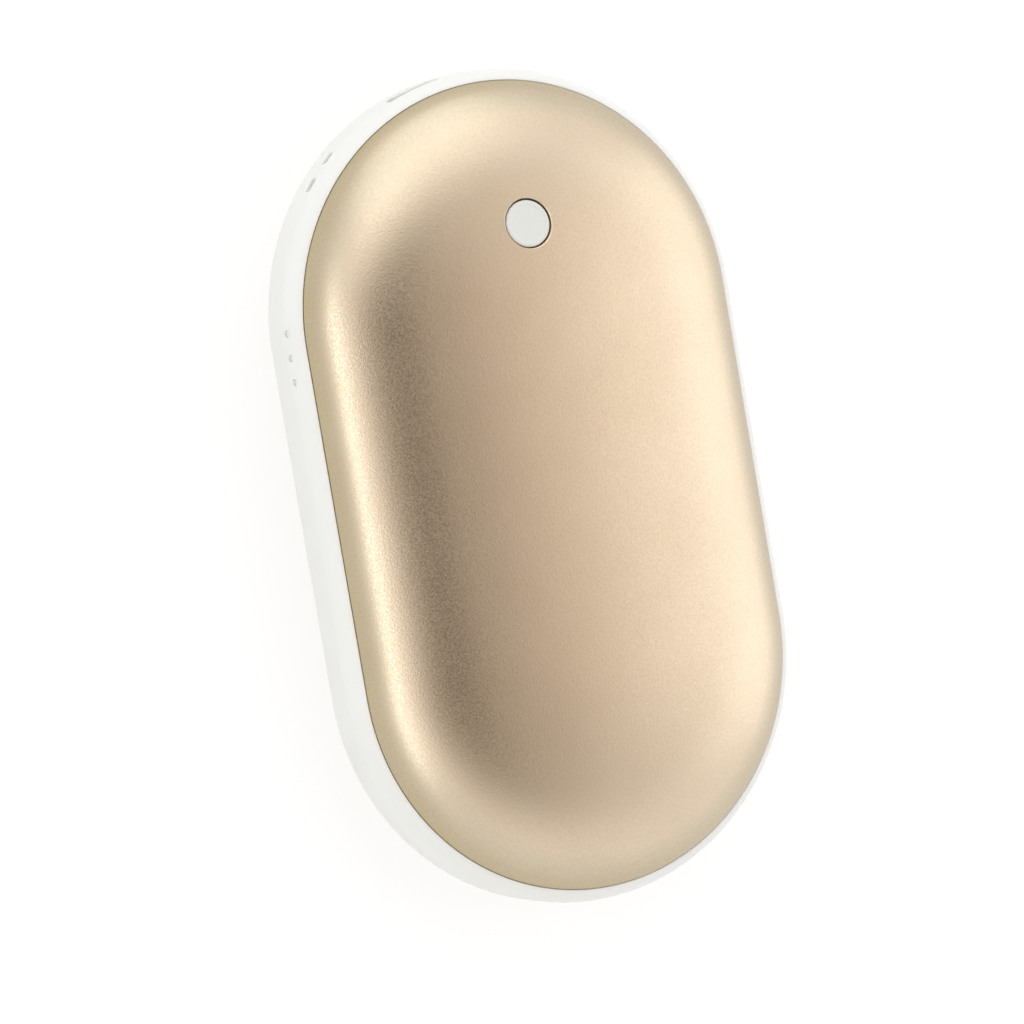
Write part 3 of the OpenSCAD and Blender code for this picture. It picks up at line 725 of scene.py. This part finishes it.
def pouch_foil():
    """Laminated foil, softly creased."""
    material, tree, principled = shader("pouch_foil", rgb("#c3c6ca"), 0.32, Metallic=0.9)
    creases = add(tree, "TexVoronoi", {"Vector": place_of(tree), "Scale": 160.0},
                  feature="DISTANCE_TO_EDGE").outputs["Distance"]
    soft = bump(tree, noise(tree, 5.0, detail=3.0), 0.15, 0.5)
    normal = bump(tree, spread(tree, creases, 0.0, 0.08, 0.0, 1.0), 0.03, 0.4, soft)
    wire(tree, principled, Normal=normal, Roughness=spread(tree, noise(tree, 2.0), 0.3, 0.7, 0.26, 0.4))
    return material


def heater_film():
    """Amber film with a winding metal track inside."""
    material, tree, principled = shader("heater_film", rgb("#c9822c"), 0.25, Coat_Weight=0.6)
    wave = add(tree, "TexWave", {
        "Vector": place_of(tree), "Scale": 100.0, "Distortion": 0.6,
    }).outputs["Fac"]
    track = spread(tree, wave, 0.45, 0.55, 0.0, 1.0)
    colour = mix(tree, track, rgb("#c9822c"), rgb("#8f5c22"))
    wire(tree, principled, Base_Color=colour, Metallic=track, Normal=bump(tree, track, 0.03, 0.5))
    return material


def foam():
    """Closed-cell foam."""
    material, tree, principled = shader("foam", rgb("#55575a"), 0.9)
    cells = add(tree, "TexVoronoi", {"Vector": place_of(tree), "Scale": 2800.0}).outputs["Distance"]
    colour = mix(tree, cells, rgb("#46484b"), rgb("#65676a"))
    wire(tree, principled, Base_Color=colour, Normal=bump(tree, cells, 0.12, 0.8))
    return material


MATERIALS = {
    "gold_metal": gold_metal(),
    "white_plastic": white_plastic(),
    "inner_plastic": moulded("inner_plastic", rgb("#e4e4df"), 0.5),
    "frosted_plastic": moulded("frosted_plastic", FROST, 0.42, size=0.2, depth=0.004, change=0.97),
    "clear_plastic": moulded("clear_plastic", rgb("#f0f1ee"), 0.3, size=0.4, depth=0.004, change=0.98,
                             **MILKY),
    "sealant": moulded("sealant", rgb("#c6c6bf"), 0.6, size=0.3, depth=0.03),
    "circuit_board": circuit_board(),
    "black_plastic": moulded("black_plastic", rgb("#1d1d1f"), 0.5, size=0.12, depth=0.012, change=1.3),
    "tan_ceramic": moulded("tan_ceramic", rgb("#a57d4f"), 0.45, size=0.1, depth=0.008),
    "grey_plastic": moulded("grey_plastic", rgb("#6a6b6d"), 0.5),
    "steel": steel(),
    "gold_plate": gold_plate(),
    "pouch_foil": pouch_foil(),
    "heater_film": heater_film(),
    "foam": foam(),
    "red_insulation": moulded("red_insulation", rgb("#b8261c"), 0.4, size=0.1, depth=0.005, change=0.9),
    "black_insulation": moulded("black_insulation", rgb("#1c1c1d"), 0.4, size=0.1, depth=0.005,
                                change=1.2),
}


def dress_nodes():
    """Gives every CAD node the material of its slot."""
    for node, slot in SLOTS.items():
        mesh = frame["nodes"][node].data
        mesh.materials.clear()
        mesh.materials.append(MATERIALS[slot])


# Shells


def section_arc(part, count, inset=0.0):
    """Points (u, z) up an arc of a shell's section, or up one that is inset from it."""
    centre, radius, start, end = part
    return arc(*centre, radius - inset, start, end, count)


def dome_section():
    """Section of a shell: from the spine outwards on its inside, round its skirt, and back outside."""
    inner = section_arc(SHOULDER, 8, SHELL_T) + section_arc(FLANK, 6, SHELL_T)[1:]
    # The inside bends into the skirt level with the edge
    inner = [p for p in inner if p[1] > 0.05] + section_arc(CROWN, 8, SHELL_T)[1:]
    outer = section_arc(SHOULDER, 12) + section_arc(FLANK, 12)[1:] + section_arc(CROWN, 20)[1:]
    inner[-1] = (0.0, inner[-1][1])
    outer[-1] = (0.0, outer[-1][1])
    bevel_h = SKIRT_BEVEL - SKIRT_H
    skirt = [(SKIRT_IN, 0.0), (SKIRT_IN, bevel_h), (SKIRT_IN + SKIRT_BEVEL, -SKIRT_H)]
    # The last point keeps the shaded bend at the edge short
    skirt += [(EDGE_U - SKIRT_BEVEL, -SKIRT_H), (EDGE_U, bevel_h), (EDGE_U, -0.2)]
    return inner[::-1] + skirt + outer


def shell(name, node, flip, top):
    """A shell on the band's edge, with its crown up or, flipped, down, and flat above a height."""
    section = [(u, MID_Z + flip * (BAND_H / 2 + min(z, top))) for u, z in dome_section()]
    return new_piece(name, *sweep(section, closed=False), node)


def build_shells():
    front = shell("front_shell_metal", "front_shell", 1, DOME_H)
    hole = mouth(
        circle_outline(HOLE_R, 96),
        lambda a, b, h: (a, BUTTON_Y + b, MID_Z + crown_h(a, BUTTON_Y + b) + h),
        depth=4.0, fillet=HOLE_ROUND,
    )
    combine(front, "DIFFERENCE", [hole])
    clean(front.data)
    true_normals(front, shell_surface)
    back = shell("back_shell_metal", "back_shell", -1, DOME_H - LAND_DEPTH)
    true_normals(back, back_surface)


# Band


def band_section():
    """Closed section of the band as (u, h)."""
    top = BAND_H / 2
    groove_out = EDGE_U + SEAM_GAP
    groove_foot = top - GROOVE_D
    round_u = groove_out + SEAM_ROUND
    from_edge = round_u - (END_R - BAND_EDGE_R)
    round_h = BAND_FLAT + math.sqrt((BAND_EDGE_R - SEAM_ROUND) ** 2 - from_edge ** 2)
    start = math.degrees(math.atan2(round_h - BAND_FLAT, from_edge))
    edge = arc(round_u, round_h, SEAM_ROUND, start, 180, 8)
    lip_out = LEDGE_U + LIP_T
    lip_top = top + LIP_H
    half = edge[1:] + [
        (groove_out, groove_foot), (GROOVE_U, groove_foot), (GROOVE_U, top),
        (lip_out, top), (lip_out, lip_top - LIP_BEVEL), (lip_out - LIP_BEVEL, lip_top),
        (LEDGE_U + LIP_BEVEL, lip_top), (LEDGE_U, lip_top - LIP_BEVEL),
        (LEDGE_U, CHANNEL_H / 2), (WALL_U, CHANNEL_H / 2),
    ]
    lower = [(u, -h) for u, h in half[::-1]]
    edge_h = edge[0][1]
    outside = [(band_u(h), h) for h in steps(-edge_h, -BAND_FLAT, 14)]
    outside += [(END_R, h) for h in steps(-BAND_FLAT, BAND_FLAT, 4)[1:]]
    outside += [(band_u(h), h) for h in steps(BAND_FLAT, edge_h, 14)[1:]]
    return half + lower + outside


def eye_place(a, b, h):
    """Point of the lanyard eye at a along the end wall, at the height b, and h out from its face."""
    angle = 180 - EYE_ANGLE + math.degrees(a / END_R)
    x, y = polar(angle, band_u(b) + h)
    return x, y + SPINE, MID_Z + b


def end_wall(a, b, h):
    """Point of the button end's wall at a place across it and a height, and h out from its face."""
    return a, SPINE + math.sqrt(band_u(b) ** 2 - a * a) + h, MID_Z + b


def boss(x, y, angle, reach, low, high):
    """Screw boss with a web in a direction that reaches into the band."""
    half = BOSS_WEB / 2
    start = math.degrees(math.asin(half / BOSS_R))
    turn = Matrix.Rotation(math.radians(angle), 2)
    outline = [(Vector(polar(a, BOSS_R)), Vector(polar(a))) for a in steps(start, 360 - start, 40)]
    outline += [(Vector((reach, -half)), Vector((0, -1))), (Vector((reach, half)), Vector((0, 1)))]
    outline = [(turn @ p + Vector((x, y)), turn @ out) for p, out in outline]
    return prism(outline, low, high, upright, BOSS_BEVEL)


def band_solids():
    """Bosses for the lanyard eye and for the screws of the board and the tray."""
    half = math.radians(EYE_BOSS_ANGLE) * END_R / 2
    yield tube([
        [eye_place(a, 0.0, u - END_R)[:2] + (MID_Z + h,) for u, h in box_corners(*EYE_BOSS)]
        for a in steps(-half, half, 12)
    ])
    for side in (1, -1):
        x, y = side * BOARD_BOSS[0], BOARD_BOSS[1]
        out = Vector((x, y - SPINE))
        angle = math.degrees(math.atan2(out.y, out.x))
        yield boss(x, y, angle, BOARD_WEB_U - out.length, BOARD_BOSS_FOOT, BOARD_H)
        for y in TRAY_BOSS_Y:
            yield boss(side * TRAY_BOSS_X, y, 90 - side * 90, TRAY_WEB, -BAND_H / 2, TRAY_BOSS_TOP)


def usb_a_outline(inset):
    """Section of the wide socket at a depth in from its outer face."""
    half_w, half_h = USB_A[0] / 2, USB_A[2] / 2
    corners = box_corners(USB_A_X, BOARD_H - half_h, half_w - inset, half_h - inset)
    return rounded(corners, USB_A_CORNER - inset)


def micro_outline(inset):
    """Section of the charging socket at a depth in from its outer face, wide side up."""
    w, t = MICRO[0] / 2 - inset, MICRO[2] / 2 - inset
    slant = MICRO_SLANT
    corners = [(slant - w, -t), (w - slant, -t), (w, slant - t), (w, t), (-w, t), (-w, slant - t)]
    corners = [(MICRO_X + x, BOARD_H - MICRO[2] / 2 + h) for x, h in corners]
    return rounded(corners, MICRO_CORNER - inset)


def band_openings():
    """Cutters for the pinholes, the lanyard eye, the two sockets and the screws."""
    for y in LIGHT_Y:
        yield mouth(
            circle_outline(LIGHT_HOLE_R, 32),
            lambda a, b, h, y=y: (-band_u(LIGHT_H + b) - h, y + a, MID_Z + LIGHT_H + b),
            depth=6.0, fillet=LIGHT_HOLE_ROUND,
        )
    bar, slot = EYE_BAR[0] / 2, EYE_SLOT[0] / 2
    for side in (-1, 1):
        corners = box_corners(side * (bar + slot), EYE_H, slot, EYE_SLOT[1] / 2)
        yield mouth(rounded(corners, EYE_CORNER), eye_place, EYE_DEPTH, EYE_ROUND)
    # The way behind the bar is a little smaller than the slots that it joins
    way = box_corners(0, EYE_H, bar + 0.4, EYE_SLOT[1] / 2 - 0.1)
    yield tube([[eye_place(a, b, h) for a, b in way] for h in (0.03 - EYE_DEPTH, -EYE_BAR[1])])
    for outline, wall, length, end in (
        (usb_a_outline, USB_A_WALL, USB_A[1], USB_A_MOUTH),
        (micro_outline, MICRO_WALL, MICRO[1], MICRO_MOUTH),
    ):
        yield mouth(outline(wall), end_wall, depth=5.0, fillet=WINDOW_ROUND)
        yield prism(outline(-SOCKET_FIT), end - length, end + SOCKET_FIT, lengthways)
    pilot = circle_outline(PILOT_R, 32)
    for side in (-1, 1):
        places = [(BOARD_BOSS, BOARD_PILOT_FOOT, BOARD_H + 1)]
        places += [((TRAY_BOSS_X, y), -BAND_H, -1) for y in TRAY_BOSS_Y]
        for (x, y), low, high in places:
            yield prism([(p + Vector((side * x, y)), out) for p, out in pilot], low, high, upright)


def build_band():
    section = [(u, MID_Z + h) for u, h in band_section()]
    band = new_piece("band_plastic", *sweep(section), "mid_frame")
    combine(band, "UNION", band_solids())
    combine(band, "DIFFERENCE", band_openings())
    clean(band.data)
    true_normals(band, band_surface)


# Button and light pipe


def build_button():
    """Frosted cap with a shallow dish inside a rounded rim, over its neck, flange and stem."""
    seat = Matrix.Translation((0, SPINE, FRONT_EDGE_Z + CROWN[0][1]))
    seat = seat @ Matrix.Rotation(math.radians(-BUTTON_TILT), 4, "X")
    seat = seat @ Matrix.Translation((0, 0, CROWN[1] - BUTTON_RECESS))
    slope_r = BUTTON_R - BUTTON_RIM - DISH_SLOPE
    head = [(0.0, -BUTTON_DISH), (1.0, -BUTTON_DISH)]
    for t in steps(0, 1, 8):
        head.append((slope_r + DISH_SLOPE * t, -BUTTON_DISH * (1 + math.cos(math.pi * t)) / 2))
    head += arc(BUTTON_R - BUTTON_ROUND, -BUTTON_ROUND, BUTTON_ROUND, 90, 0, 10)
    head += [(BUTTON_R, -HEAD_H), (0.0, -HEAD_H)]
    low, high = FLANGE_H
    bevel = FLANGE_BEVEL
    neck_r = BUTTON_R - NECK_FIT
    foot = [
        (0, STEM_H), (STEM_R - bevel, STEM_H), (STEM_R, STEM_H + bevel), (STEM_R, low),
        (FLANGE_R - bevel, low), (FLANGE_R, low + bevel),
        (FLANGE_R, high - bevel), (FLANGE_R - bevel, high),
        (neck_r, high), (neck_r, NECK_H), (0, NECK_H),
    ]
    parts = []
    for section, place in ((head, seat), (foot, Matrix.Translation((0, BUTTON_Y, MID_Z)))):
        points, faces = lathe(section)
        parts.append((moved(points, place), faces))
    new_piece("button_cap_frosted", *joined(*parts), "button_cap")


def build_dome_spring():
    """Thin metal dome under the plunger."""
    outer_r = (SPRING_R ** 2 + SPRING_H ** 2) / (2 * SPRING_H)
    inner_r = outer_r - SPRING_T
    centre_h = SPRING_H - outer_r
    outer_foot, inner_foot = (math.degrees(math.asin(-centre_h / r)) for r in (outer_r, inner_r))
    section = arc(0.0, centre_h, outer_r, 90, outer_foot, 16)
    section += arc(0.0, centre_h, inner_r, inner_foot, 90, 12)
    section[0] = (0.0, SPRING_H)
    section[-1] = (0.0, SPRING_H - SPRING_T)
    points, faces = lathe(section, 48)
    seat = Matrix.Translation((0, BUTTON_Y, MID_Z + SPRING_FOOT))
    dome = new_piece("switch_dome_steel", moved(points, seat), faces, "tact_switch_dome")
    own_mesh(dome)


def build_light_pipe():
    """Clear bar with a round-ended pin out to each pinhole."""
    bar = rounded(box_corners(PIPE_BAR_X, PIPE_BAR_H, PIPE_BAR[0] / 2, PIPE_BAR[1] / 2), 0.12)
    parts = [prism(bar, *PIPE_BAR_Y, lengthways, 0.1)]
    shank = PIN_X[0] - PIN_X[1] - PIN_DOME
    pin = [(0, 0), (PIN_R, 0)]
    pin += [(polar(a, PIN_R)[0], shank + polar(a, PIN_DOME)[1]) for a in steps(0, 90, 8)]
    points, faces = lathe(pin, 32)
    outward = Matrix.Rotation(math.radians(-90), 4, "Y")
    for y in LIGHT_Y:
        seat = Matrix.Translation((PIN_X[0], y, MID_Z + LIGHT_H)) @ outward
        parts.append((moved(points, seat), faces))
    new_piece("light_pipe_clear", *joined(*parts), "indicator_light_pipe")


# Sockets


def folded_sheet(outline, wall, low, high):
    """Sheet folded to a tube along Y, with a rounded lip."""
    lip = SHEET_LIP
    levels = (
        (0, low), (0, high - lip), (lip, high),
        (wall - lip, high), (wall, high - lip), (wall, low),
    )
    return tube([[lengthways(*p, y) for p, _ in outline(inset)] for inset, y in levels], closed=True)


def spring_tabs(h):
    """Two spring tabs of the wide socket, at the height h of its inside, bent away from the wall."""
    off, width, thick, rise = USB_A_TAB
    bend = -math.copysign(rise, h)
    foot = h if h < 0 else h - thick
    path = ((8.5, -0.3 * bend), (7.5, 0.0), (4.6, bend), (3.6, 0.0))
    path = [(USB_A_MOUTH - behind, foot + shift) for behind, shift in path]
    return [strip(path, USB_A_X + side * off, width, thick) for side in (-1, 1)]


def socket_tongue(x, h, size, front, root, corner, bevel):
    """Tongue of a socket about a place across it and a height, rooted in the block behind it."""
    w, length, t = size
    outline = rounded(box_corners(x, h, w / 2, t / 2), corner)
    return prism(outline, front - root, front + length, lengthways, bevel)


def contact_strips(places, size, front, h, tip, curl):
    """Contacts under a tongue, at places across it, with a tip that turns up a little."""
    width, length, thick = size
    low = h - thick
    path = [(front, low), (front + length - tip, low), (front + length, low + curl)]
    return joined(*(strip(path, x, width, thick) for x in places))


def build_usb_a():
    back = USB_A_MOUTH - USB_A[1]
    front = back + USB_A_BLOCK
    sheet = folded_sheet(usb_a_outline, USB_A_WALL, back, USB_A_MOUTH)
    tabs = spring_tabs(BOARD_H - USB_A_WALL) + spring_tabs(BOARD_H - USB_A[2] + USB_A_WALL)
    new_piece("usb_a_shell_sheet", *joined(sheet, *tabs), "usb_a_shell")
    block = prism(usb_a_outline(USB_A_WALL + 0.05), back, front, lengthways, 0.1)
    middle = USB_A_TONGUE_H + USB_A_TONGUE[2] / 2
    tongue = socket_tongue(USB_A_X, middle, USB_A_TONGUE, front, root=1.0, corner=0.3, bevel=0.25)
    new_piece("usb_a_insulator_block", *joined(block, tongue), "usb_a_insulator")
    places = [USB_A_X + x for x in USB_A_CONTACT_X]
    strips = contact_strips(places, USB_A_CONTACT, front, USB_A_TONGUE_H, tip=1.2, curl=0.08)
    new_piece("usb_a_contact_strips", *strips, "usb_a_contacts")


def build_micro_usb():
    back = MICRO_MOUTH - MICRO[1]
    front = back + MICRO_BLOCK
    sheet = folded_sheet(micro_outline, MICRO_WALL, back, MICRO_MOUTH)
    new_piece("micro_usb_shell_sheet", *sheet, "micro_usb_shell")
    block = prism(micro_outline(MICRO_WALL + 0.03), back, front, lengthways, 0.06)
    middle = BOARD_H - MICRO[2] / 2
    tongue = socket_tongue(MICRO_X, middle, MICRO_TONGUE, front, root=0.5, corner=0.12, bevel=0.1)
    new_piece("micro_usb_insulator_block", *joined(block, tongue), "micro_usb_insulator")
    places = [MICRO_X + i * MICRO_PITCH for i in range(-2, 3)]
    under = middle - MICRO_TONGUE[2] / 2
    strips = contact_strips(places, MICRO_CONTACT, front, under, tip=0.4, curl=0.03)
    new_piece("micro_usb_contact_strips", *strips, "micro_usb_contacts")


# Padding


def pad(name, node, size, foot, top, corner, edge):
    """Soft pad from a flat foot to a top at a height over each point, with its sides drawn in."""
    half_w, half_l = size[0] / 2, size[1] / 2

    def waist(along, across, half_along, half_across):
        """How far a side gives way, most in its middle."""
        share = math.cos(math.pi / 2 * min(1, abs(across) / half_across))
        return math.copysign(PAD_WAIST, along) * share * abs(along) / half_along

    def ring(scale, grow, rise):
        points = []
        for p, out in outline:
            x, y = (p + out * grow) * scale
            x -= waist(x, y, half_w, half_l)
            y -= waist(y, x, half_l, half_w)
            y += PAD_Y
            points.append((x, y, foot + (top(x, y) - foot) * rise))
        return points

    outline = rounded(box_corners(0, 0, half_w, half_l), corner)
    rings = [ring(scale, -edge, 0.0) for scale in steps(0.2, 1.0, 4)]
    rings += [ring(1.0, edge * (polar(a)[0] - 1), (1 + polar(a)[1]) / 2) for a in steps(-75, 75, 10)]
    rings += [ring(scale, -edge, 1.0) for scale in steps(1.0, 0.1, 9)]
    new_piece(name, *tube(rings), node)


def build_padding():
    def front(x, y):
        return MID_Z + crown_h(x, y, PAD_DEPTH)

    def back(x, y):
        return MID_Z - crown_h(x, y, PAD_DEPTH)

    def flat(x, y):
        return MID_Z + BOND_H

    pad("front_foam_cushion", "front_foam_pad", PAD, MID_Z + FRONT_PAD_H, front,
        corner=2.0, edge=0.7)
    pad("back_foam_cushion", "back_foam_pad", PAD, MID_Z - BACK_PAD_H, back,
        corner=2.0, edge=0.7)
    pad("bonding_foam_cushion", "cell_bonding_pad", BOND, MID_Z - BOND_H, flat,
        corner=1.0, edge=0.15)


# Stage


def camera():
    yaw, pitch, roll = (math.radians(a) for a in CAMERA_TURN)
    turn = Matrix.Rotation(roll, 3, "Z") @ Matrix.Rotation(pitch, 3, "X") @ Matrix.Rotation(yaw, 3, "Y")
    back = turn.transposed()
    seat = back @ Vector((-CAMERA_SHIFT[0], -CAMERA_SHIFT[1], CAMERA_DISTANCE))
    seat += Vector((0, 0, FRONT_EDGE_Z))
    data = bpy.data.cameras.new("camera")
    data.lens = CAMERA_LENS
    data.sensor_width = 36.0
    data.clip_end = 100.0
    obj = new_object("camera", data)
    obj.matrix_world = Matrix.Translation(seat * MM) @ back.to_4x4()
    bpy.context.scene.camera = obj


def lamp(name, azimuth, elevation, width, height, colour):
    """Soft box that faces the object and fills an angle of its view, as bright as its colour says."""
    data = bpy.data.lights.new(name, "AREA")
    data.shape = "RECTANGLE"
    data.size = 2 * LAMP_DISTANCE * math.tan(math.radians(width / 2))
    data.size_y = 2 * LAMP_DISTANCE * math.tan(math.radians(height / 2))
    data.energy = math.pi * data.size * data.size_y
    data.color = colour
    obj = new_object(name, data)
    out = Vector((*polar(azimuth, polar(elevation)[0]), polar(elevation)[1]))
    obj.location = out * LAMP_DISTANCE + Vector((0, 0, MID_Z * MM))
    obj.rotation_euler = out.to_track_quat("Z", "Y").to_euler()


def bare_tree(owner):
    """Node tree of a material or a world, emptied."""
    owner.use_nodes = True
    owner.node_tree.nodes.clear()
    return owner.node_tree


def floor():
    """Pale floor that shows as white to the camera and in the metal, and takes a soft shadow."""
    corners = [(x, y, 0) for x, y in box_corners(0, 0, FLOOR_HALF, FLOOR_HALF)]
    obj = new_object("floor", new_mesh("floor", corners, [(0, 1, 2, 3)]))
    obj.location.z = -FLOOR_DROP * MM
    material = bpy.data.materials.new("floor")
    tree = bare_tree(material)
    path = add(tree, "LightPath").outputs
    seen = calculate(tree, "MAXIMUM", path["Is Camera Ray"], path["Is Glossy Ray"])
    seen = calculate(tree, "MAXIMUM", seen, path["Is Transmission Ray"])
    own, faint = (
        add(tree, "BsdfDiffuse", {"Color": (grey, grey, grey, 1)}).outputs[0]
        for grey in (FLOOR_GREY, FLOOR_SEEN_GREY)
    )
    glow = add(tree, "Emission", {"Color": (1, 1, 1, 1), "Strength": FLOOR_GLOW}).outputs[0]
    white = add(tree, "AddShader", {0: faint, 1: glow}).outputs[0]
    out = add(tree, "MixShader", {0: seen, 1: own, 2: white}).outputs[0]
    add(tree, "OutputMaterial", {"Surface": out})
    obj.data.materials.append(material)


def world():
    """Soft surround that goes from white at the horizon to a dark warm grey overhead."""
    surround = bpy.data.worlds.new("surround")
    bpy.context.scene.world = surround
    tree = bare_tree(surround)
    height = add(tree, "SeparateXYZ", {0: add(tree, "TexCoord").outputs["Generated"]}).outputs["Z"]
    stops = [(polar(elevation)[1], colour) for elevation, colour in SKY]
    colour = add(tree, "Background", {"Color": ramp(tree, height, stops)}).outputs[0]
    add(tree, "OutputWorld", {"Surface": colour})


camera()
dress_nodes()
build_shells()
build_band()
build_button()
build_dome_spring()
build_light_pipe()
build_usb_a()
build_micro_usb()
build_padding()
floor()
world()
for lamp_settings in LAMPS:
    lamp(*lamp_settings)
bpy.context.scene.view_settings.view_transform = "Standard"
